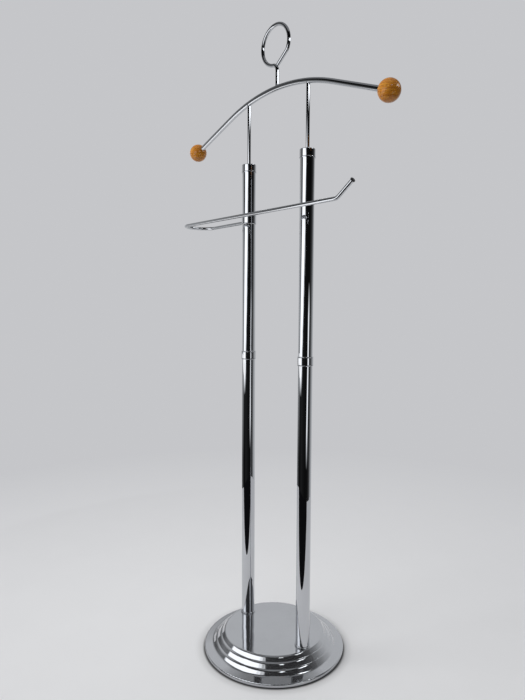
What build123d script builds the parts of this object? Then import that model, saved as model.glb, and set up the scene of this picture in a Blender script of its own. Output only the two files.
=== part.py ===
"""Chrome valet stand: a weighted round base, two posts with turned collars, a swivelling
trouser bar on the left post, and a height-adjustable shoulder bar with a ring hook on top.

Frame: millimetres, origin at the centre of the base's underside, +Z up, +X from the left
post to the right post, and the trouser bar's front leg on the -Y side.
"""
import os
from math import acos, atan2, cos, hypot, radians, sin

from build123d import *

# ---------------------------------------------------------------- driving dimensions
# Base: a spun cover over a cast weight, closed by a plate and a foam pad
BASE_RADIUS = 125.0
PLATEAU_RADIUS = 88.0
PLATEAU_HEIGHT = 31.0
COVER_WALL = 1.2
STEP_COUNT = 3
STEP_RISER = 6.5
STEP_DRAFT = 5.6           # how far each riser leans outwards
STEP_TREAD = 2.4           # narrow tread between two risers
TREAD_FALL = 1.1           # each tread slopes down outwards by this much
PLATEAU_ROUND = 5.0
STEP_ROUND = 8.0
STEP_FILLET = 1.5
FOOT_FILLET = 6.0          # where the last riser meets the flange
FLANGE_EDGE_HEIGHT = 6.4
RIM_HEIGHT = 1.8           # lower edge of the cover above the floor
RIM_ROUND = 1.0
PAD_RADIUS = 118.0
PAD_THICKNESS = 2.0
PLATE_RADIUS = 123.0
PLATE_THICKNESS = 1.5
WEIGHT_RADIUS = 86.0
WEIGHT_CHAMFER = 2.0

# Posts
POST_OFFSET = 73.0         # each post from the centre
TUBE_RADIUS = 12.0
TUBE_WALL = 1.2
TUBE_BORE = TUBE_RADIUS - TUBE_WALL
SLIP = 0.05                # radial clearance of a sliding or turning fit
COLLAR_RADIUS = 13.5
COLLAR_ROUND = 0.8
MIDDLE_COLLAR_BOTTOM = 514.5
MIDDLE_COLLAR_TOP = 530.0
JOINER_BORE = 9.2
JOINER_REACH = 30.0        # how far a joiner runs into each tube
FERRULE_RADIUS = 13.4
FERRULE_HEIGHT = 2.6
FERRULE_ROUND = 0.5
FOOT_PLUG_LENGTH = 26.0

# Post bolts under the base
BOLT_RADIUS = 4.0
BOLT_HEAD_RADIUS = 6.5
BOLT_HEAD_HEIGHT = 6.0
BOLT_LENGTH = 38.0
BOLT_CLEARANCE = 0.3
WASHER_RADIUS = 8.0
WASHER_THICKNESS = 1.6
HEX_KEY_RADIUS = 3.0
HEX_KEY_DEPTH = 3.5

# Post caps, guide bushes and lock screws
CAP_BOTTOM = 849.6
CAP_TOP = 863.4
CAP_RADIUS = 12.7
CAP_LIP_RADIUS = 13.4
CAP_LIP_HEIGHT = 1.6
CAP_LIP_ROUND = 0.3
CAP_ROOF = 2.8
CAP_ROUND = 0.9
BUSH_LENGTH = 34.0
LOCK_SCREW_RADIUS = 2.0
LOCK_SCREW_HEIGHT = 856.0
LOCK_SCREW_GAP = 0.1
DRILL_RUNOUT = 1.0         # how far a drilled hole runs past the wall it goes through

# Trouser bar and its swivel collar on the left post
SWIVEL_BOTTOM = 758.5
SWIVEL_TOP = 774.5
SWIVEL_WASHER = 0.5
SWIVEL_PLAY = 0.05
BAR_WIRE_RADIUS = 3.0
BAR_HEIGHT = 762.8
BAR_SWING = -1.8           # angle at rest between the front leg and the line of the posts
BAR_TURN_REACH = 139.5     # from the post's axis back to the end of the U-turn
BAR_TURN_RADIUS = 25.0
BAR_FRONT_Y = -57.0        # front leg from the post's axis
BAR_REAR_SPLAY = 4.0       # the rear leg spreads this far from the front leg at the turn
KICK_REACH = 270.0         # from the post's axis forward to the upward bend
KICK_RUN = 34.0
KICK_ANGLE = 36.0
KICK_RADIUS = 14.0
BAR_TIP_RADIUS = 3.7
BAR_TIP_LENGTH = 2.2
BAR_TIP_ROUND = 0.8

# Hanger: rods, shoulder bar, balls and ring hook
ROD_RADIUS = 3.1
ROD_BOTTOM = 745.0
ROD_STOP_RADIUS = 6.0
ROD_STOP_LENGTH = 12.0
ROD_STOP_INSET = 2.0       # the rod's end below its stop
ROD_STOP_ROUND = 0.8
ROD_CHAMFER = 0.6
SHOULDER_RADIUS = 4.3
SHOULDER_TOP = 977.8       # height of the bar's centre line in the middle
SHOULDER_CURVE = 345.0     # radius of the arched middle
ROD_SOCKET_DRILL = 15.0    # depth of the drill from the centre line down, past the bar's wall
BALL_OFFSET = 230.5
BALL_HEIGHT = 913.4
BALL_RADIUS = 16.4
BALL_SOCKET = 8.0          # how near the ball's centre the bar ends
INSERT_RADIUS = 4.5
INSERT_LENGTH = 10.0
STUD_RADIUS = 2.9
STUD_LENGTH = 18.0
HOOK_WIRE_RADIUS = 3.0
HOOK_LOOP_RADIUS = 32.3
HOOK_STEM_TOP = 1006.2
HOOK_BEND_RADIUS = 10.5
HOOK_BEND_ANGLE = 82.0
HOOK_LOOP_ANGLE = 288.0
HOOK_KINK_RADIUS = 9.0
HOOK_KINK_ANGLE = 26.0
HOOK_TAIL = 26.5

SIDES = {"left": -1, "right": 1}
PLATE_TOP = PAD_THICKNESS + PLATE_THICKNESS
COVER_UNDERSIDE = PLATEAU_HEIGHT - COVER_WALL

os.makedirs("parts", exist_ok=True)


def save(builder, name):
    """Label a finished piece and write its STEP file."""
    builder.part.label = name
    export_step(builder.part, f"parts/{name}.step")


def post_positions(height=0.0):
    """The two post axes at a height."""
    return [(side * POST_OFFSET, 0, height) for side in SIDES.values()]


# ---------------------------------------------------------------- base
cover_profile = [(0, PLATEAU_HEIGHT), (PLATEAU_RADIUS, PLATEAU_HEIGHT)]
cover_rounds = [PLATEAU_ROUND]
for step in range(STEP_COUNT - 1):
    edge_radius, edge_height = cover_profile[-1]
    foot = (edge_radius + STEP_DRAFT, edge_height - STEP_RISER)
    cover_profile += [foot, (foot[0] + STEP_TREAD, foot[1] - TREAD_FALL)]
    cover_rounds += [STEP_FILLET, STEP_ROUND]
last_radius, last_height = cover_profile[-1]
cover_profile += [
    (last_radius + STEP_DRAFT, last_height - STEP_RISER),
    (BASE_RADIUS, FLANGE_EDGE_HEIGHT),
    (BASE_RADIUS, RIM_HEIGHT),
]
cover_rounds += [FOOT_FILLET, RIM_ROUND + COVER_WALL]

with BuildPart() as base_cover:
    with BuildSketch(Plane.XZ):
        with BuildLine():
            FilletPolyline(*cover_profile, radius=cover_rounds)
            offset(amount=COVER_WALL, side=Side.RIGHT)
        make_face()
    revolve(axis=Axis.Z)
    with Locations(*post_positions(PLATEAU_HEIGHT)):
        Hole(BOLT_RADIUS + BOLT_CLEARANCE)
save(base_cover, "base_cover")

with BuildPart() as base_weight:
    with BuildSketch(Plane.XY.offset(PLATE_TOP)):
        Circle(WEIGHT_RADIUS)
    extrude(amount=COVER_UNDERSIDE - PLATE_TOP)
    chamfer(base_weight.edges().filter_by(GeomType.CIRCLE), WEIGHT_CHAMFER)
    with Locations(Plane.XY.offset(PLATE_TOP).rotated((180, 0, 0))):
        with Locations(*[(x, y) for x, y, _ in post_positions()]):
            CounterBoreHole(
                BOLT_RADIUS + BOLT_CLEARANCE,
                WASHER_RADIUS + BOLT_CLEARANCE,
                BOLT_HEAD_HEIGHT + WASHER_THICKNESS + BOLT_CLEARANCE,
            )
save(base_weight, "base_weight")

with BuildPart() as base_plate:
    with BuildSketch(Plane.XY.offset(PAD_THICKNESS)):
        Circle(PLATE_RADIUS)
    extrude(amount=PLATE_THICKNESS)
save(base_plate, "base_plate")

with BuildPart() as foot_pad:
    with BuildSketch():
        Circle(PAD_RADIUS)
    extrude(amount=PAD_THICKNESS)
save(foot_pad, "foot_pad")

washer_bottom = PLATE_TOP + BOLT_HEAD_HEIGHT + BOLT_CLEARANCE
with BuildPart() as post_bolts:
    for x, y, _ in post_positions():
        with BuildSketch(Plane((x, y, washer_bottom - BOLT_HEAD_HEIGHT))):
            Circle(BOLT_HEAD_RADIUS)
        extrude(amount=BOLT_HEAD_HEIGHT)
        with BuildSketch(Plane((x, y, washer_bottom))):
            Circle(BOLT_RADIUS)
        extrude(amount=BOLT_LENGTH)
        with BuildSketch(Plane((x, y, washer_bottom - BOLT_HEAD_HEIGHT))):
            RegularPolygon(HEX_KEY_RADIUS, 6)
        extrude(amount=HEX_KEY_DEPTH, mode=Mode.SUBTRACT)
save(post_bolts, "post_bolts")

with BuildPart() as post_washers:
    for x, y, _ in post_positions():
        with BuildSketch(Plane((x, y, washer_bottom))):
            Circle(WASHER_RADIUS)
            Circle(BOLT_RADIUS + BOLT_CLEARANCE, mode=Mode.SUBTRACT)
        extrude(amount=WASHER_THICKNESS)
save(post_washers, "post_washers")


# ---------------------------------------------------------------- posts
def ring(axis_x, outer, inner, bottom, top, rounding=0.0):
    """A turned ring or tube on a post's axis, its outer edges rounded."""
    with BuildPart() as piece:
        with BuildSketch(Plane((axis_x, 0, bottom))):
            Circle(outer)
            Circle(inner, mode=Mode.SUBTRACT)
        extrude(amount=top - bottom)
        if rounding:
            rims = piece.faces().filter_by(GeomType.CYLINDER).sort_by(SortBy.RADIUS)[-1]
            fillet(rims.edges().filter_by(GeomType.CIRCLE), rounding)
    return piece


def screw_drill(axis_x):
    """The lock screw's hole, from a post's axis out through its back wall."""
    with BuildPart() as drill:
        with BuildSketch(Plane((axis_x, 0, LOCK_SCREW_HEIGHT), x_dir=(1, 0, 0), z_dir=(0, 1, 0))):
            Circle(LOCK_SCREW_RADIUS + SLIP)
        extrude(amount=CAP_LIP_RADIUS + DRILL_RUNOUT)
    return drill.part


def post_cap(axis_x):
    """A thin cap over the tube's end, with a small lip, a rod hole and a screw hole."""
    drill = screw_drill(axis_x)
    rod_hole = ROD_RADIUS + BOLT_CLEARANCE
    with BuildPart() as cap:
        with BuildSketch(Plane((axis_x, 0, 0), x_dir=(1, 0, 0), z_dir=(0, -1, 0))):
            with BuildLine():
                FilletPolyline(
                    (rod_hole, CAP_TOP),
                    (CAP_RADIUS, CAP_TOP),
                    (CAP_RADIUS, CAP_BOTTOM + CAP_LIP_HEIGHT),
                    (CAP_LIP_RADIUS, CAP_BOTTOM + CAP_LIP_HEIGHT / 2),
                    (CAP_LIP_RADIUS, CAP_BOTTOM),
                    radius=[CAP_ROUND, CAP_LIP_ROUND, CAP_LIP_ROUND],
                )
                Polyline(
                    (CAP_LIP_RADIUS, CAP_BOTTOM),
                    (TUBE_RADIUS + SLIP, CAP_BOTTOM),
                    (TUBE_RADIUS + SLIP, CAP_TOP - CAP_ROOF),
                    (rod_hole, CAP_TOP - CAP_ROOF),
                    (rod_hole, CAP_TOP),
                )
            make_face()
        revolve(axis=Axis((axis_x, 0, 0), (0, 0, 1)))
        add(drill, mode=Mode.SUBTRACT)
    return cap


tube_top = CAP_TOP - CAP_ROOF
swivel_gap_bottom = SWIVEL_BOTTOM - SWIVEL_WASHER - SWIVEL_PLAY
swivel_gap_top = SWIVEL_TOP + SWIVEL_WASHER + SWIVEL_PLAY
joiner_radius = TUBE_BORE - SLIP

for name, side in SIDES.items():
    x = side * POST_OFFSET
    ferrule_top = PLATEAU_HEIGHT + FERRULE_HEIGHT
    ferrule = ring(x, FERRULE_RADIUS, TUBE_RADIUS + SLIP, PLATEAU_HEIGHT, ferrule_top, FERRULE_ROUND)
    save(ferrule, f"{name}_ferrule")
    save(ring(x, TUBE_RADIUS, TUBE_BORE, PLATEAU_HEIGHT, MIDDLE_COLLAR_BOTTOM), f"{name}_lower_tube")
    plug_top = PLATEAU_HEIGHT + FOOT_PLUG_LENGTH
    save(ring(x, joiner_radius, BOLT_RADIUS + SLIP, PLATEAU_HEIGHT, plug_top), f"{name}_foot_plug")
    middle_collar = ring(
        x, COLLAR_RADIUS, joiner_radius + SLIP, MIDDLE_COLLAR_BOTTOM, MIDDLE_COLLAR_TOP, COLLAR_ROUND
    )
    save(middle_collar, f"{name}_middle_collar")
    joiner = ring(
        x, joiner_radius, JOINER_BORE, MIDDLE_COLLAR_BOTTOM - JOINER_REACH, MIDDLE_COLLAR_TOP + JOINER_REACH
    )
    save(joiner, f"{name}_joiner")
    save(post_cap(x), f"{name}_cap")

left_x = -POST_OFFSET
save(ring(left_x, TUBE_RADIUS, TUBE_BORE, MIDDLE_COLLAR_TOP, swivel_gap_bottom), "left_upper_tube")
swivel_joiner = ring(
    left_x, joiner_radius, JOINER_BORE, swivel_gap_bottom - JOINER_REACH, swivel_gap_top + JOINER_REACH
)
save(swivel_joiner, "swivel_joiner")

top_tubes = {
    "left_top_tube": (left_x, swivel_gap_top),
    "right_upper_tube": (POST_OFFSET, MIDDLE_COLLAR_TOP),
}
for name, (x, bottom) in top_tubes.items():
    drill = screw_drill(x)
    with BuildPart() as top_tube:
        with BuildSketch(Plane((x, 0, bottom))):
            Circle(TUBE_RADIUS)
            Circle(TUBE_BORE, mode=Mode.SUBTRACT)
        extrude(amount=tube_top - bottom)
        add(drill, mode=Mode.SUBTRACT)
    save(top_tube, name)

for name, side in SIDES.items():
    drill = screw_drill(side * POST_OFFSET)
    with BuildPart() as bush:
        with BuildSketch(Plane((side * POST_OFFSET, 0, tube_top - BUSH_LENGTH))):
            Circle(TUBE_BORE - SLIP)
            Circle(ROD_RADIUS + SLIP, mode=Mode.SUBTRACT)
        extrude(amount=BUSH_LENGTH)
        add(drill, mode=Mode.SUBTRACT)
    save(bush, f"{name}_bush")

with BuildPart() as lock_screws:
    screw_length = CAP_RADIUS - ROD_RADIUS - LOCK_SCREW_GAP
    for side in SIDES.values():
        tip = (side * POST_OFFSET, ROD_RADIUS + LOCK_SCREW_GAP, LOCK_SCREW_HEIGHT)
        with BuildSketch(Plane(tip, x_dir=(1, 0, 0), z_dir=(0, 1, 0))):
            Circle(LOCK_SCREW_RADIUS)
        extrude(amount=screw_length)
        head = (tip[0], tip[1] + screw_length, tip[2])
        with BuildSketch(Plane(head, x_dir=(1, 0, 0), z_dir=(0, -1, 0))):
            RegularPolygon(LOCK_SCREW_RADIUS / 2, 6)
        extrude(amount=LOCK_SCREW_RADIUS, mode=Mode.SUBTRACT)
save(lock_screws, "lock_screws")

# ---------------------------------------------------------------- trouser bar
with BuildPart() as swivel_washers:
    for bottom in (swivel_gap_bottom, SWIVEL_TOP + SWIVEL_PLAY):
        with BuildSketch(Plane((left_x, 0, bottom))):
            Circle(TUBE_RADIUS)
            Circle(joiner_radius + SLIP, mode=Mode.SUBTRACT)
        extrude(amount=SWIVEL_WASHER)
save(swivel_washers, "swivel_washers")

bar_plane = Plane((left_x, 0, BAR_HEIGHT)).rotated((0, 0, BAR_SWING))
rear_direction = Vector(-BAR_TURN_REACH, BAR_REAR_SPLAY).normalized()
rear_start = rear_direction * (joiner_radius + 2 * SLIP)
rear_plane = Plane(
    bar_plane.from_local_coords(tuple(rear_start)),
    z_dir=bar_plane.from_local_coords(tuple(rear_direction)) - bar_plane.origin,
)
with BuildPart() as swivel_collar:
    with BuildSketch(Plane((left_x, 0, SWIVEL_BOTTOM))):
        Circle(COLLAR_RADIUS)
        Circle(joiner_radius + SLIP, mode=Mode.SUBTRACT)
    extrude(amount=SWIVEL_TOP - SWIVEL_BOTTOM)
    outer_wall = swivel_collar.faces().filter_by(GeomType.CYLINDER).sort_by(SortBy.RADIUS)[-1]
    fillet(outer_wall.edges().filter_by(GeomType.CIRCLE), COLLAR_ROUND)
    with BuildSketch(Plane(bar_plane.origin, z_dir=rear_plane.z_dir)):
        Circle(BAR_WIRE_RADIUS + SLIP)
    extrude(amount=COLLAR_RADIUS + DRILL_RUNOUT, mode=Mode.SUBTRACT)
save(swivel_collar, "swivel_collar")

kick_slope = radians(KICK_ANGLE)
kick_tip = (KICK_REACH + KICK_RUN * cos(kick_slope), BAR_FRONT_Y, KICK_RUN * sin(kick_slope))
with BuildPart() as trouser_bar:
    with BuildLine(bar_plane):
        FilletPolyline(
            tuple(rear_start),
            (-BAR_TURN_REACH, BAR_REAR_SPLAY, 0),
            (-BAR_TURN_REACH, BAR_FRONT_Y, 0),
            (KICK_REACH, BAR_FRONT_Y, 0),
            kick_tip,
            radius=[BAR_TURN_RADIUS, BAR_TURN_RADIUS, KICK_RADIUS],
        )
    with BuildSketch(rear_plane):
        Circle(BAR_WIRE_RADIUS)
    sweep()
save(trouser_bar, "trouser_bar")

kick_direction = bar_plane.from_local_coords(Vector(cos(kick_slope), 0, sin(kick_slope))) - bar_plane.origin
with BuildPart() as bar_tip:
    with BuildSketch(Plane(bar_plane.from_local_coords(Vector(*kick_tip)), z_dir=kick_direction)):
        Circle(BAR_TIP_RADIUS)
    extrude(amount=BAR_TIP_LENGTH)
    fillet(bar_tip.edges().filter_by(GeomType.CIRCLE), BAR_TIP_ROUND)
save(bar_tip, "bar_tip")

# ---------------------------------------------------------------- hanger
shoulder_drop = SHOULDER_TOP - BALL_HEIGHT
fall = SHOULDER_CURVE - shoulder_drop
slope = atan2(BALL_OFFSET, fall) - acos(SHOULDER_CURVE / hypot(BALL_OFFSET, fall))
bar_end = (
    BALL_OFFSET - BALL_SOCKET * cos(slope),
    BALL_HEIGHT + BALL_SOCKET * sin(slope),
)
curve_end = (SHOULDER_CURVE * sin(slope), SHOULDER_TOP - SHOULDER_CURVE * (1 - cos(slope)))
outward = {side: (side * cos(slope), 0, -sin(slope)) for side in SIDES.values()}


def shoulder_height(x):
    """Height of the shoulder bar's centre line over the arc's span."""
    return SHOULDER_TOP - SHOULDER_CURVE + (SHOULDER_CURVE**2 - x**2) ** 0.5


rod_top = shoulder_height(POST_OFFSET)
with BuildPart() as shoulder_bar:
    with BuildLine(Plane.XZ):
        left_run = Line((-bar_end[0], bar_end[1]), (-curve_end[0], curve_end[1]))
        crown = ThreePointArc(left_run @ 1, (0, SHOULDER_TOP), curve_end)
        Line(crown @ 1, bar_end)
    with BuildSketch(Plane(left_run @ 0, z_dir=left_run % 0)):
        Circle(SHOULDER_RADIUS)
    sweep()
    for side in SIDES.values():
        with BuildSketch(Plane((side * POST_OFFSET, 0, rod_top - ROD_SOCKET_DRILL))):
            Circle(ROD_RADIUS + SLIP)
        extrude(amount=ROD_SOCKET_DRILL, mode=Mode.SUBTRACT)
        stud_seat = (side * bar_end[0], 0, bar_end[1])
        with BuildSketch(Plane(stud_seat, z_dir=outward[side])):
            Circle(STUD_RADIUS + SLIP)
        extrude(amount=-STUD_LENGTH / 2 - SLIP, mode=Mode.SUBTRACT)
    with BuildSketch(Plane((0, 0, SHOULDER_TOP))):
        Circle(HOOK_WIRE_RADIUS + SLIP)
    extrude(amount=2 * SHOULDER_RADIUS, mode=Mode.SUBTRACT)
save(shoulder_bar, "shoulder_bar")

for name, side in SIDES.items():
    x = side * POST_OFFSET
    with BuildPart() as rod:
        with BuildSketch(Plane((x, 0, ROD_BOTTOM))):
            Circle(ROD_RADIUS)
        extrude(amount=rod_top - ROD_BOTTOM)
        chamfer(rod.edges().group_by(Axis.Z)[0], ROD_CHAMFER)
    save(rod, f"{name}_rod")
    stop_bottom = ROD_BOTTOM + ROD_STOP_INSET
    stop_top = stop_bottom + ROD_STOP_LENGTH
    rod_stop = ring(x, ROD_STOP_RADIUS, ROD_RADIUS + SLIP, stop_bottom, stop_top, ROD_STOP_ROUND)
    save(rod_stop, f"{name}_rod_stop")

for name, side in SIDES.items():
    centre = (side * BALL_OFFSET, 0, BALL_HEIGHT)
    with BuildPart() as ball:
        with Locations(centre):
            Sphere(BALL_RADIUS)
        with BuildSketch(Plane((side * bar_end[0], 0, bar_end[1]), z_dir=outward[side])):
            Circle(SHOULDER_RADIUS + SLIP)
        extrude(amount=-BALL_RADIUS, mode=Mode.SUBTRACT)
        with BuildSketch(Plane((side * bar_end[0], 0, bar_end[1]), z_dir=outward[side])):
            Circle(INSERT_RADIUS + SLIP)
        extrude(amount=INSERT_LENGTH + SLIP, mode=Mode.SUBTRACT)
    save(ball, f"{name}_ball")

with BuildPart() as ball_inserts:
    for side in SIDES.values():
        with BuildSketch(Plane((side * bar_end[0], 0, bar_end[1]), z_dir=outward[side])):
            Circle(INSERT_RADIUS)
            Circle(STUD_RADIUS + SLIP, mode=Mode.SUBTRACT)
        extrude(amount=INSERT_LENGTH)
save(ball_inserts, "ball_inserts")

with BuildPart() as ball_studs:
    for side in SIDES.values():
        with BuildSketch(Plane((side * bar_end[0], 0, bar_end[1]), z_dir=outward[side])):
            Circle(STUD_RADIUS)
        extrude(amount=STUD_LENGTH / 2, both=True)
save(ball_studs, "ball_studs")

with BuildPart() as ring_hook:
    with BuildLine(Plane.XZ) as hook_path:
        stem = Line((0, SHOULDER_TOP + SLIP), (0, HOOK_STEM_TOP))
        bend = JernArc(stem @ 1, (0, 1), HOOK_BEND_RADIUS, HOOK_BEND_ANGLE)
        loop = JernArc(bend @ 1, bend % 1, HOOK_LOOP_RADIUS, -HOOK_LOOP_ANGLE)
        kink = JernArc(loop @ 1, loop % 1, HOOK_KINK_RADIUS, -HOOK_KINK_ANGLE)
        tail = Line(kink @ 1, (kink @ 1) + (kink % 1) * HOOK_TAIL)
    with BuildSketch(Plane(stem @ 0, z_dir=(0, 0, 1))):
        Circle(HOOK_WIRE_RADIUS)
    sweep()
save(ring_hook, "ring_hook")
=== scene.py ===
"""Looks of the chrome valet stand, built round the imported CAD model. Metres, +Z up."""

from math import cos, pi, radians, sin, sqrt, tau

import bmesh
import bpy
from mathutils import Matrix, Vector


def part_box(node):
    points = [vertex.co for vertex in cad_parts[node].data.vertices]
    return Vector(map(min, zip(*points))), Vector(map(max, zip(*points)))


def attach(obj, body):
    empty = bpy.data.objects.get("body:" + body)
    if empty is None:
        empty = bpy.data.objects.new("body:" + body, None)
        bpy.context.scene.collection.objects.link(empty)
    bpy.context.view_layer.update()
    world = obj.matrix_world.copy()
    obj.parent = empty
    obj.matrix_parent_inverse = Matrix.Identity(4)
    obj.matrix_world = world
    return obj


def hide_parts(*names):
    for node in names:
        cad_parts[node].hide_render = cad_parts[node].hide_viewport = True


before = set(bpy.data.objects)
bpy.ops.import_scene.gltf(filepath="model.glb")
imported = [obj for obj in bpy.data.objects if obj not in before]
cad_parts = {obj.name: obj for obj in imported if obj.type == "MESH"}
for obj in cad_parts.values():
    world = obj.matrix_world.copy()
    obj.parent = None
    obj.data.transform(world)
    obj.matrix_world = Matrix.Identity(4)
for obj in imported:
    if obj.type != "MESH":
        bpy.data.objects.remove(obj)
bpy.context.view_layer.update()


# ---------------------------------------------------------------- camera
CAMERA_DISTANCE = 1.0029
CAMERA_AZIMUTH = radians(47.448)     # round the stand from -Y towards +X
CAMERA_HEIGHT = 0.6199
CAMERA_YAW = radians(-48.746)
CAMERA_PITCH = radians(-4.795)
CAMERA_ROLL = radians(0.242)
CAMERA_LENS = 29.666


def make_camera():
    """The photograph's view: about a metre away, a little above the middle of the stand."""
    data = bpy.data.cameras.new("camera")
    data.lens = CAMERA_LENS
    camera = bpy.data.objects.new("camera", data)
    camera.location = (
        CAMERA_DISTANCE * sin(CAMERA_AZIMUTH),
        -CAMERA_DISTANCE * cos(CAMERA_AZIMUTH),
        CAMERA_HEIGHT,
    )
    turn = Matrix.Rotation(-CAMERA_YAW, 4, "Z") @ Matrix.Rotation(pi / 2 + CAMERA_PITCH, 4, "X")
    camera.rotation_euler = (turn @ Matrix.Rotation(CAMERA_ROLL, 4, "Z")).to_euler()
    bpy.context.scene.collection.objects.link(camera)
    bpy.context.scene.camera = camera


# ---------------------------------------------------------------- shader helpers
class Shader:
    """A node tree with short calls for adding nodes and links."""

    def __init__(self, name, **sockets):
        self.material = bpy.data.materials.new(name)
        self.material.use_nodes = True
        self.nodes = self.material.node_tree.nodes
        self.surface = self.nodes["Principled BSDF"]
        for socket, value in sockets.items():
            self.surface.inputs[socket.replace("_", " ")].default_value = value
        self.place = self.add("ShaderNodeTexCoord").outputs["Object"]

    def add(self, kind, **settings):
        node = self.nodes.new(kind)
        for key, value in settings.items():
            setattr(node, key, value)
        return node

    def link(self, output, node, socket):
        self.material.node_tree.links.new(output, node.inputs[socket])

    def stretched(self, scale):
        """Object coordinates, scaled by a different amount along each axis."""
        mapping = self.add("ShaderNodeMapping")
        mapping.inputs["Scale"].default_value = scale
        self.link(self.place, mapping, "Vector")
        return mapping.outputs["Vector"]

    def noise(self, scale, detail, roughness, place=None, distortion=0.0):
        node = self.add("ShaderNodeTexNoise")
        node.inputs["Scale"].default_value = scale
        node.inputs["Detail"].default_value = detail
        node.inputs["Roughness"].default_value = roughness
        node.inputs["Distortion"].default_value = distortion
        self.link(place or self.place, node, "Vector")
        return node.outputs["Fac"]

    def ramp(self, value, *stops):
        """A colour ramp over (position, colour or grey) stops."""
        node = self.add("ShaderNodeValToRGB")
        band = node.color_ramp
        while len(band.elements) < len(stops):
            band.elements.new(1.0)
        for element, (position, colour) in zip(band.elements, stops):
            element.position = position
            grey = isinstance(colour, (int, float))
            element.color = (colour, colour, colour, 1) if grey else (*colour, 1)
        self.link(value, node, "Fac")
        return node.outputs["Color"]

    def mapped(self, value, low, high, start=0.0, end=1.0):
        """value, taken from start..end to low..high."""
        node = self.add("ShaderNodeMapRange")
        node.inputs["From Min"].default_value = start
        node.inputs["From Max"].default_value = end
        node.inputs["To Min"].default_value = low
        node.inputs["To Max"].default_value = high
        self.link(value, node, "Value")
        return node.outputs["Result"]

    def rising(self, value, start, end):
        """0 below start, 1 above end."""
        return self.mapped(value, 0.0, 1.0, start, end)

    def falling(self, value, start, end):
        """1 below start, 0 above end."""
        return self.mapped(value, 1.0, 0.0, start, end)

    def between(self, value, rise, fall):
        """0 before the rise and after the fall, 1 between them."""
        return self.product(self.rising(value, *rise), self.falling(value, *fall))

    def math(self, operation, a, b=0.0):
        """An operation on two sockets or numbers, or on a alone."""
        node = self.add("ShaderNodeMath", operation=operation)
        for index, value in enumerate((a, b)):
            if isinstance(value, (int, float)):
                node.inputs[index].default_value = value
            else:
                self.material.node_tree.links.new(value, node.inputs[index])
        return node.outputs["Value"]

    def product(self, first, *others):
        for other in others:
            first = self.math("MULTIPLY", first, other)
        return first

    def largest(self, first, *others):
        for other in others:
            first = self.math("MAXIMUM", first, other)
        return first

    def apart(self, a, b):
        """How far two values are apart."""
        return self.math("ABSOLUTE", self.math("SUBTRACT", a, b))

    def mix(self, amount, a, b):
        node = self.add("ShaderNodeMix", data_type="RGBA")
        sockets = {"Factor": amount, "A": a, "B": b}
        for name, value in sockets.items():
            socket = next(s for s in node.inputs if s.name == name and s.enabled)
            if isinstance(value, bpy.types.NodeSocket):
                self.material.node_tree.links.new(value, socket)
            else:
                socket.default_value = value if name == "Factor" else (*value, 1)
        return next(s for s in node.outputs if s.enabled)

    def bump(self, height, distance, strength=1.0):
        node = self.add("ShaderNodeBump")
        node.inputs["Distance"].default_value = distance
        node.inputs["Strength"].default_value = strength
        self.link(height, node, "Height")
        return node.outputs["Normal"]

    def finish(self, **links):
        for socket, output in links.items():
            self.link(output, self.surface, socket.replace("_", " "))
        return self.material


# ---------------------------------------------------------------- materials
CHROME_TINT = (0.60, 0.61, 0.635)
DULLED = 0.92                # chrome's tint where it is smudged


def chrome(name, streak, smoothest, dullest, ripple_scale=9.0, ripple_depth=0.00003, haze=0.0):
    """Bright chrome plate: polishing lines along streak, soft smudges, a slight waviness and some haze."""
    s = Shader(name, Metallic=1.0 - haze)
    smudge = s.noise(14.0, detail=4.0, roughness=0.6)
    lines = s.noise(1.0, detail=2.0, roughness=0.6, place=s.stretched(streak))
    dull = s.product(s.mapped(smudge, 0.0, 1.0, 0.45, 0.8), s.mapped(lines, 0.4, 1.0, 0.3, 0.7))
    tone = s.mix(dull, CHROME_TINT, [DULLED * channel for channel in CHROME_TINT])
    ripple = s.bump(s.noise(ripple_scale, detail=1.0, roughness=0.4), ripple_depth)
    return s.finish(Base_Color=tone, Roughness=s.mapped(dull, smoothest, dullest), Normal=ripple)


DARK_GRAIN = (0.62, 0.19, 0.006)
MIDDLE_GRAIN = (0.86, 0.32, 0.016)
LIGHT_GRAIN = (0.95, 0.50, 0.06)
WOOD_PATCH = (0.34, 0.085, 0.004)
WOOD_BAND = (0.36, 0.09, 0.004)
WOOD_PORE = (0.16, 0.04, 0.004)


def lacquered_wood():
    """Turned wooden ball under a clear amber lacquer: long grain, growth rings, pores, a glossy coat."""
    s = Shader("lacquered_wood", Coat_Weight=0.5, Coat_Roughness=0.06, Coat_IOR=1.5, Specular_IOR_Level=0.3)
    along = s.stretched((25.0, 220.0, 700.0))
    grain = s.noise(1.0, detail=4.0, roughness=0.6, place=along, distortion=0.6)
    patch = s.noise(55.0, detail=3.0, roughness=0.5)
    warm = s.ramp(grain, (0.25, DARK_GRAIN), (0.5, MIDDLE_GRAIN), (0.75, LIGHT_GRAIN))
    shade = s.mix(s.mapped(patch, 0.0, 0.4, 0.3, 0.75), warm, WOOD_PATCH)
    bands = s.add("ShaderNodeTexWave", wave_type="BANDS", bands_direction="Z")
    s.link(s.place, bands, "Vector")
    for socket, value in (("Scale", 75.0), ("Distortion", 6.0), ("Detail", 2.0), ("Detail Scale", 0.6)):
        bands.inputs[socket].default_value = value
    ringed = s.mix(s.mapped(bands.outputs["Fac"], 0.0, 0.35, 0.45, 1.0), shade, WOOD_BAND)
    fine = s.noise(1.0, detail=2.0, roughness=0.7, place=s.stretched((60.0, 900.0, 2400.0)))
    pores = s.ramp(fine, (0.33, 0.65), (0.42, 0.0))
    tone = s.mix(pores, ringed, WOOD_PORE)
    relief = s.bump(s.noise(90.0, detail=2.0, roughness=0.5), 0.0001, strength=0.2)
    return s.finish(Base_Color=tone, Roughness=s.mapped(grain, 0.3, 0.45), Normal=relief)


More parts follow.
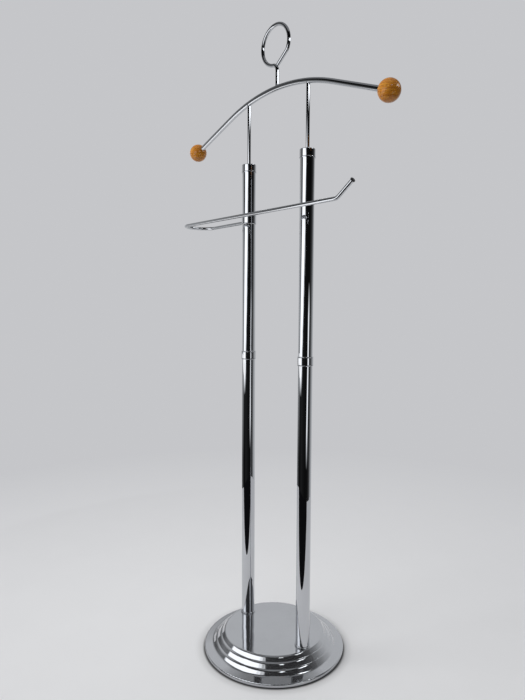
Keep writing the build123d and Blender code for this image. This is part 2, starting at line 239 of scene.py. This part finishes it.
RELIEF_FINENESS = 6          # the relief's grain against the mottling's
ROUGH_SPREAD = 0.1


def matte(name, light, dark, rough, grain, depth, metallic=0.0):
    """A plain dull material with a mottled tone and a fine relief."""
    s = Shader(name, Metallic=metallic)
    mottle = s.noise(grain, detail=5.0, roughness=0.6)
    tone = s.mix(s.rising(mottle, 0.3, 0.7), dark, light)
    fine = s.noise(grain * RELIEF_FINENESS, detail=3.0, roughness=0.6)
    relief = s.bump(fine, depth, strength=0.6)
    roughness = s.mapped(mottle, rough - ROUGH_SPREAD, rough + ROUGH_SPREAD, 0.3, 0.7)
    return s.finish(Base_Color=tone, Roughness=roughness, Normal=relief)


MATERIALS = {
    "chrome_tube": chrome("chrome_tube", (900.0, 900.0, 6.0), 0.015, 0.05),
    "chrome_trim": chrome("chrome_trim", (200.0, 200.0, 1500.0), 0.03, 0.08),
    "chrome_wire": chrome("chrome_wire", (300.0, 300.0, 300.0), 0.03, 0.08),
    "chrome_cover": chrome(
        "chrome_cover", (160.0, 160.0, 700.0), 0.05, 0.13,
        ripple_scale=34.0, ripple_depth=0.0003, haze=0.06,
    ),
    "cast_iron": matte(
        "cast_iron", (0.08, 0.08, 0.085), (0.03, 0.03, 0.032),
        rough=0.75, grain=120.0, depth=0.0004, metallic=0.6,
    ),
    "zinc_steel": matte(
        "zinc_steel", (0.62, 0.63, 0.62), (0.42, 0.43, 0.44),
        rough=0.38, grain=300.0, depth=0.00005, metallic=1.0,
    ),
    "black_foam": matte(
        "black_foam", (0.022, 0.022, 0.024), (0.008, 0.008, 0.009),
        rough=0.9, grain=700.0, depth=0.0006,
    ),
    "black_screw": matte(
        "black_screw", (0.05, 0.05, 0.055), (0.02, 0.02, 0.022),
        rough=0.4, grain=500.0, depth=0.00005, metallic=0.7,
    ),
    "black_cap": matte(
        "black_cap", (0.03, 0.03, 0.032), (0.012, 0.012, 0.013),
        rough=0.42, grain=400.0, depth=0.00004,
    ),
    "nylon": matte("nylon", (0.72, 0.71, 0.67), (0.58, 0.57, 0.53), rough=0.5, grain=150.0, depth=0.00003),
    "lacquered_wood": lacquered_wood(),
    "brass": matte(
        "brass", (0.80, 0.58, 0.24), (0.58, 0.40, 0.15),
        rough=0.3, grain=250.0, depth=0.00003, metallic=1.0,
    ),
}


def paint_nodes():
    """Each CAD node gets the procedural material of its slot."""
    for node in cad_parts.values():
        for material_slot in node.material_slots:
            material_slot.material = MATERIALS[material_slot.material.name]


# ---------------------------------------------------------------- new pieces
def looped_piece(name, columns, slot, body):
    """A closed mesh through a ring of columns, each a closed loop of points. It rides on a body."""
    shape = bmesh.new()
    grid = [[shape.verts.new(point) for point in column] for column in columns]
    for i, column in enumerate(grid):
        beyond = grid[(i + 1) % len(grid)]
        for row in range(len(column)):
            following = (row + 1) % len(column)
            shape.faces.new((column[row], beyond[row], beyond[following], column[following]))
    bmesh.ops.recalc_face_normals(shape, faces=shape.faces)
    mesh = bpy.data.meshes.new(name)
    shape.to_mesh(mesh)
    shape.free()
    mesh.shade_smooth()
    mesh.materials.append(MATERIALS[slot])
    piece = bpy.data.objects.new(name, mesh)
    bpy.context.scene.collection.objects.link(piece)
    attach(piece, body)
    return piece


RING_SIDES = 96
BEAD_STEPS = 9
BEAD_START = 0.35            # the part of a half-round's width that stands up straight at its ends
SHARP_ANGLE = radians(38)
TUBE_OUTSIDE = 0.01205
JOINER_OUTSIDE = 0.0108
BEAD_HEIGHT = 0.0017
GROOVE_DEPTH = 0.0006
GROOVE_START = 0.0001        # heights of the groove above its bead
GROOVE_END = 0.0004
BODY_START = 0.0006
BODY_STEP = 0.0003           # the plain part of a collar is this much smaller than its beads


def turned_ring(name, node, inner, contour, body):
    """A ring turned round a post in place of a CAD node; contour gives radius and height, bottom to top."""
    low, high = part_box(node)
    axis = (low + high) / 2
    foot = Vector((axis.x, axis.y, low.z))
    outer = (high.x - low.x) / 2
    height = high.z - low.z
    outline = [(inner, 0.0), *contour(inner, outer, height), (inner, height)]
    columns = []
    for i in range(RING_SIDES):
        turn = tau * i / RING_SIDES
        side = Vector((cos(turn), sin(turn), 0))
        columns.append([foot + side * reach + Vector((0, 0, rise)) for reach, rise in outline])
    ring = looped_piece(name, columns, "chrome_trim", body)
    ring.data.set_sharp_from_angle(angle=SHARP_ANGLE)
    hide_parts(node)


def half_round(inner, outer, height):
    """One round bead over the whole height."""
    points = []
    for i in range(BEAD_STEPS + 1):
        swing = pi * i / BEAD_STEPS
        reach = inner + (outer - inner) * (BEAD_START + (1 - BEAD_START) * sin(swing))
        points.append((reach, height * (1 - cos(swing)) / 2))
    return points


def beaded(inner, outer, height):
    """A plain band between two grooves and two round beads. It has no use for inner."""
    lower = half_round(outer - BEAD_HEIGHT, outer, BEAD_HEIGHT) + [
        (outer - GROOVE_DEPTH, BEAD_HEIGHT + GROOVE_START),
        (outer - GROOVE_DEPTH, BEAD_HEIGHT + GROOVE_END),
        (outer - BODY_STEP, BEAD_HEIGHT + BODY_START),
    ]
    return lower + [(reach, height - rise) for reach, rise in reversed(lower)]


def make_rings():
    for side in ("left", "right"):
        turned_ring(f"{side}_foot_ring", f"{side}_ferrule", TUBE_OUTSIDE, half_round, "stand")
        turned_ring(f"{side}_beaded_collar", f"{side}_middle_collar", JOINER_OUTSIDE, beaded, "stand")
    turned_ring("beaded_swivel_collar", "swivel_collar", JOINER_OUTSIDE, beaded, "trouser_swivel")


HOOK_WIRE_RADIUS = 0.0030
SHOULDER_RADIUS = 0.0043
SHOULDER_TOP = 0.9778        # height of the shoulder bar's centre line in the middle
SHOULDER_CURVE = 0.345       # radius of the arched middle
WELD_REACH = 0.0010          # how far a weld runs out along the bar, and up or down the stem
WELD_SIDES = 36
WELD_ROWS = 6
WELD_RIPPLE = 0.10
WELD_RIPPLES = 9


def weld_bead(name, middle, stem_radius, side):
    """The concave, faintly rippled weld between the shoulder bar and a round stem above or below it."""
    sunk = -WELD_REACH / 2
    columns = []
    for i in range(WELD_SIDES):
        turn = tau * i / WELD_SIDES
        ripple = 1 + WELD_RIPPLE * sin(WELD_RIPPLES * turn)
        profile = []
        for row in range(WELD_ROWS):
            swing = pi / 2 * row / (WELD_ROWS - 1)
            reach = stem_radius + WELD_REACH * (1 - cos(swing))
            profile.append((reach, WELD_REACH * ripple * (1 - sin(swing))))
        profile.append((stem_radius + WELD_REACH, sunk))
        profile.append((stem_radius + sunk, sunk))
        profile.append((stem_radius + sunk, WELD_REACH * ripple))
        column = []
        for reach, rise in profile:
            x = middle + reach * cos(turn)
            y = reach * sin(turn)
            centre = SHOULDER_TOP - SHOULDER_CURVE + sqrt(SHOULDER_CURVE**2 - x**2)
            bar = sqrt(max(SHOULDER_RADIUS**2 - y**2, 0.0))
            column.append((x, y, centre + side * (bar + rise)))
        columns.append(column)
    looped_piece(name, columns, "chrome_wire", "hanger")


def make_welds():
    for side in ("left", "right"):
        low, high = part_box(f"{side}_rod")
        weld_bead(f"{side}_rod_weld", (low.x + high.x) / 2, (high.x - low.x) / 2, -1)
    weld_bead("hook_weld", 0.0, HOOK_WIRE_RADIUS, 1)


# ---------------------------------------------------------------- stage
def polar(azimuth, distance, height):
    """A point round the stand: azimuth in degrees from -Y towards +X."""
    a = radians(azimuth)
    return Vector((distance * sin(a), -distance * cos(a), height))


def emission(name, colour, strength):
    material = bpy.data.materials.new(name)
    material.use_nodes = True
    nodes = material.node_tree.nodes
    nodes.clear()
    light = nodes.new("ShaderNodeEmission")
    light.inputs["Color"].default_value = (*colour, 1)
    light.inputs["Strength"].default_value = strength
    output = nodes.new("ShaderNodeOutputMaterial")
    material.node_tree.links.new(light.outputs[0], output.inputs["Surface"])
    return material


def one_sided(name, strength):
    """A white card that shines from its upper side only."""
    material = emission(name, (1, 1, 1), strength)
    nodes = material.node_tree.nodes
    links = material.node_tree.links
    side = nodes.new("ShaderNodeNewGeometry")
    clear = nodes.new("ShaderNodeBsdfTransparent")
    choice = nodes.new("ShaderNodeMixShader")
    links.new(side.outputs["Backfacing"], choice.inputs["Fac"])
    links.new(nodes["Emission"].outputs[0], choice.inputs[1])
    links.new(clear.outputs[0], choice.inputs[2])
    links.new(choice.outputs[0], nodes["Material Output"].inputs["Surface"])
    return material


def mirrored(name, points, faces, material):
    """A stage piece that nothing shows but mirror reflections."""
    mesh = bpy.data.meshes.new(name)
    mesh.from_pydata(points, [], faces)
    mesh.materials.append(material)
    piece = bpy.data.objects.new(name, mesh)
    bpy.context.scene.collection.objects.link(piece)
    piece.visible_camera = False
    piece.visible_diffuse = False
    piece.visible_shadow = False
    piece.visible_transmission = False


ROOM_RADIUS = 0.9
ROOM_HEIGHT = 2.2
ROOM_SIDES = 180
ROOM_COLOUR = (0.96, 0.98, 1.0)
CEILING_COLOUR = (0.95, 0.97, 1.0)
CEILING_LIGHT = 0.24
# A leaning edge is given by its azimuths at two heights; heights are where a light fades in and out.
WINDOW_LIGHT = 1.8
WINDOW_LEFT = ((-50.0, -26.0), (0.45, 0.95))
WINDOW_RIGHT = ((-14.0, 25.0), (0.33, 0.80))
WINDOW_HEIGHTS = ((0.31, 0.38), (1.10, 1.20))
WINDOW_LEFT_EDGE = (0.0, 4.0)        # degrees over which the window fades at its edges
WINDOW_RIGHT_EDGE = (-6.0, 8.0)
RAGGED = 9.0                         # degrees that the right edge wanders
LAMP_LIGHT = 1.5
LAMP_LINE = ((80.0, 92.0), (0.20, 0.62))
LAMP_WIDTH = (4.0, 12.0)             # degrees from its middle over which a lamp fades
LAMP_HEIGHTS = ((0.10, 0.22), (0.58, 0.68))
SPOT_LIGHT = 6.0
SPOT_PLACE = (67.0, ROOM_RADIUS, 1.30)
SPOT_RADIUS = (0.08, 0.12)
SIDE_LAMP_LIGHT = 7.0
SIDE_LAMP_AZIMUTH = 124.0
SIDE_LAMP_WIDTH = (9.0, 15.0)
SIDE_LAMP_HEIGHTS = ((1.20, 1.25), (1.40, 1.48))


def room_material():
    """The room that the chrome mirrors, told by azimuth and height: a dark side in front with a leaning
    window to its left, a low lamp to its right and two small lamps higher up, and pale walls elsewhere."""
    s = Shader("room")
    separate = s.add("ShaderNodeSeparateXYZ")
    s.link(s.place, separate, "Vector")
    x, y, height = (separate.outputs[axis] for axis in "XYZ")
    azimuth = s.product(s.math("ARCTAN2", x, s.product(y, -1.0)), 180 / pi)
    turn = s.rising(azimuth, -180.0, 180.0)

    def around(*stops):
        return s.ramp(turn, *[(stop / 360.0 + 0.5, value) for stop, value in stops])

    def leaning(azimuths, heights):
        return s.mapped(height, *azimuths, *heights)

    walls = around(
        (-180, 0.62), (-100, 0.62), (-76, 0.56), (-60, 0.40), (-50, 0.22), (-40, 0.03), (20, 0.012),
        (60, 0.006), (100, 0.01), (112, 0.05), (126, 0.12), (143, 0.35), (165, 0.60), (180, 0.62),
    )
    left_side = around((-140, 0.0), (-95, 1.0), (-30, 1.0), (0, 0.0))
    right_side = around((60, 0.0), (110, 1.0), (150, 1.0), (179, 0.0))
    left_shade = s.product(left_side, s.mapped(height, 0.86, 0.0, 0.10, 0.52))
    right_shade = s.product(right_side, s.mapped(height, 0.0, 0.78, 0.30, 1.00))
    shade = s.math("SUBTRACT", 1.0, s.largest(left_shade, right_shade))
    upper = s.mapped(height, 1.0, 0.38, 0.95, 1.30)

    wander = s.noise(9.0, detail=4.0, roughness=0.65)
    ragged = s.math("ADD", azimuth, s.mapped(wander, -RAGGED, RAGGED, 0.3, 0.7))
    window = s.product(
        s.rising(s.math("SUBTRACT", azimuth, leaning(*WINDOW_LEFT)), *WINDOW_LEFT_EDGE),
        s.rising(s.math("SUBTRACT", leaning(*WINDOW_RIGHT), ragged), *WINDOW_RIGHT_EDGE),
        s.between(height, *WINDOW_HEIGHTS),
        WINDOW_LIGHT,
    )
    lamp = s.product(
        s.falling(s.apart(azimuth, leaning(*LAMP_LINE)), *LAMP_WIDTH),
        s.between(height, *LAMP_HEIGHTS),
        LAMP_LIGHT,
    )
    spot_distance = s.add("ShaderNodeVectorMath", operation="DISTANCE")
    s.link(s.place, spot_distance, 0)
    spot_distance.inputs[1].default_value = polar(*SPOT_PLACE)
    spot = s.product(s.falling(spot_distance.outputs["Value"], *SPOT_RADIUS), SPOT_LIGHT)
    side_lamp = s.product(
        s.falling(s.apart(azimuth, SIDE_LAMP_AZIMUTH), *SIDE_LAMP_WIDTH),
        s.between(height, *SIDE_LAMP_HEIGHTS),
        SIDE_LAMP_LIGHT,
    )
    light = s.add("ShaderNodeEmission")
    s.link(s.largest(s.product(walls, shade, upper), window, lamp, spot, side_lamp), light, "Strength")
    light.inputs["Color"].default_value = (*ROOM_COLOUR, 1)
    s.link(light.outputs[0], s.nodes["Material Output"], "Surface")
    return s.material


CARD_LIGHT = 1.4
CARD_HEIGHT = 0.45
CARD_LOW = (-0.9, -0.5)
CARD_HIGH = (-0.2, -0.2)
DARK_COLOUR = (0.006, 0.006, 0.007)
DARK_HEIGHT = 0.002
FRONT_EDGE = 0.30            # the pale floor ends this far in front of the stand, seen in the chrome
FRONT_AZIMUTH = 25.0         # the way that edge faces
FRONT_SECTOR = (-50.0, 92.0)
FRONT_STEPS = 30
FLATTEST = 0.1               # keeps the edge within reach where it runs away from the stand


def make_room():
    """A drum with a ceiling, a card, and the dark floor in front, all seen only in reflections."""
    azimuths = [360.0 * i / ROOM_SIDES for i in range(ROOM_SIDES)]
    foot = [polar(azimuth, ROOM_RADIUS, 0.0) for azimuth in azimuths]
    rim = [polar(azimuth, ROOM_RADIUS, ROOM_HEIGHT) for azimuth in azimuths]
    walls = []
    for here in range(ROOM_SIDES):
        beyond = (here + 1) % ROOM_SIDES
        walls.append((here, beyond, ROOM_SIDES + beyond, ROOM_SIDES + here))
    mirrored("room_wall", foot + rim, walls, room_material())
    ceiling = emission("ceiling", CEILING_COLOUR, CEILING_LIGHT)
    mirrored("room_ceiling", rim, [tuple(range(ROOM_SIDES))], ceiling)

    card = [
        (CARD_LOW[0], CARD_LOW[1], CARD_HEIGHT),
        (CARD_HIGH[0], CARD_LOW[1], CARD_HEIGHT),
        (CARD_HIGH[0], CARD_HIGH[1], CARD_HEIGHT),
        (CARD_LOW[0], CARD_HIGH[1], CARD_HEIGHT),
    ]
    mirrored("card", card, [(0, 1, 2, 3)], one_sided("card", CARD_LIGHT))

    first, last = FRONT_SECTOR
    near, far = [], []
    for i in range(FRONT_STEPS + 1):
        azimuth = first + (last - first) * i / FRONT_STEPS
        reach = FRONT_EDGE / max(FLATTEST, cos(radians(azimuth - FRONT_AZIMUTH)))
        near.append(polar(azimuth, min(reach, ROOM_RADIUS), DARK_HEIGHT))
        far.append(polar(azimuth, ROOM_RADIUS, DARK_HEIGHT))
    outline = near + far[::-1]
    mirrored("dark_floor", outline, [tuple(range(len(outline)))], emission("dark_floor", DARK_COLOUR, 1.0))


BACKDROP = (0.56, 0.565, 0.585)
FLOOR_RADIUS = 30.0
FLOOR_SIDES = 96
FLOOR_TONES = ((0.80, 0.80, 0.795), (0.83, 0.83, 0.825))
SHADOW_TONE = (0.02, 0.02, 0.02)
CONTACT_SHADOW = ((0.1255, 0.92), (0.1275, 0.22), (0.142, 0.0))     # distance from the axis, darkness
HORIZON_FADE = (0.25, 1.4)   # distances over which the floor turns into the backdrop
FLOOR_BOUNCE = 0.15          # how strongly the far floor lights the dull parts of the stand
BRIGHT_SIDE = (-70.0, 0.85, 0.5)
BRIGHT_SIDE_LIGHT = 1.7
DIM_SIDE_LIGHT = 0.02


def make_floor():
    """A plain pale floor disc that fades into the backdrop."""
    mesh = bpy.data.meshes.new("floor")
    shape = bmesh.new()
    bmesh.ops.create_circle(shape, cap_ends=True, segments=FLOOR_SIDES, radius=FLOOR_RADIUS)
    shape.to_mesh(mesh)
    shape.free()
    floor = bpy.data.objects.new("floor", mesh)
    bpy.context.scene.collection.objects.link(floor)
    s = Shader("floor_paint", Specular_IOR_Level=0.2)
    mottle = s.noise(9.0, detail=4.0, roughness=0.6)
    length = s.add("ShaderNodeVectorMath", operation="LENGTH")
    s.link(s.place, length, "Vector")
    distance = length.outputs["Value"]
    tone = s.mix(s.ramp(distance, *CONTACT_SHADOW), s.mix(mottle, *FLOOR_TONES), SHADOW_TONE)
    far = s.add("ShaderNodeEmission")
    far.inputs["Color"].default_value = (*BACKDROP, 1)
    ray = s.add("ShaderNodeLightPath")
    s.link(s.mapped(ray.outputs["Is Diffuse Ray"], 1.0, FLOOR_BOUNCE), far, "Strength")
    fade = s.add("ShaderNodeMixShader")
    s.link(s.rising(distance, *HORIZON_FADE), fade, "Fac")
    s.link(s.surface.outputs[0], fade, 1)
    s.link(far.outputs[0], fade, 2)
    s.link(fade.outputs[0], s.nodes["Material Output"], "Surface")
    mesh.materials.append(s.finish(Base_Color=tone, Roughness=s.mapped(mottle, 0.5, 0.65)))


def make_world():
    """A plain pale backdrop, whose light on the stand is weaker from the right."""
    world = bpy.data.worlds.new("studio")
    world.use_nodes = True
    nodes = world.node_tree.nodes
    links = world.node_tree.links
    background = nodes["Background"]
    background.inputs["Color"].default_value = (*BACKDROP, 1)
    sky = nodes.new("ShaderNodeTexCoord")
    facing = nodes.new("ShaderNodeVectorMath")
    facing.operation = "DOT_PRODUCT"
    facing.inputs[1].default_value = polar(*BRIGHT_SIDE)
    links.new(sky.outputs["Generated"], facing.inputs[0])
    level = nodes.new("ShaderNodeMapRange")
    level.inputs["From Min"].default_value = -1.0
    level.inputs["To Min"].default_value = DIM_SIDE_LIGHT
    level.inputs["To Max"].default_value = BRIGHT_SIDE_LIGHT
    links.new(facing.outputs["Value"], level.inputs["Value"])
    ray = nodes.new("ShaderNodeLightPath")
    strength = nodes.new("ShaderNodeMix")
    links.new(ray.outputs["Is Camera Ray"], strength.inputs["Factor"])
    links.new(level.outputs["Result"], strength.inputs["A"])
    strength.inputs["B"].default_value = 1.0
    links.new(strength.outputs["Result"], background.inputs["Strength"])
    bpy.context.scene.world = world


def area_light(name, place, aim, size, power):
    """A soft rectangular light at a polar place that points at a height on the stand's axis."""
    data = bpy.data.lights.new(name, "AREA")
    data.shape = "RECTANGLE"
    data.size, data.size_y = size
    data.energy = power
    light = bpy.data.objects.new(name, data)
    light.location = polar(*place)
    direction = Vector((0, 0, aim)) - light.location
    light.rotation_euler = direction.to_track_quat("-Z", "Y").to_euler()
    light.visible_glossy = False
    bpy.context.scene.collection.objects.link(light)


def make_studio():
    """Pale surroundings, soft lights, and the room that the chrome mirrors."""
    make_floor()
    make_world()
    area_light("key", place=(-30, 2.0, 1.5), aim=0.6, size=(1.0, 1.4), power=16.0)
    area_light("top", place=(180, 1.2, 2.4), aim=0.0, size=(1.6, 1.6), power=6.0)
    make_room()
    bpy.context.scene.view_settings.view_transform = "Standard"


make_camera()
paint_nodes()
make_rings()
make_welds()
make_studio()
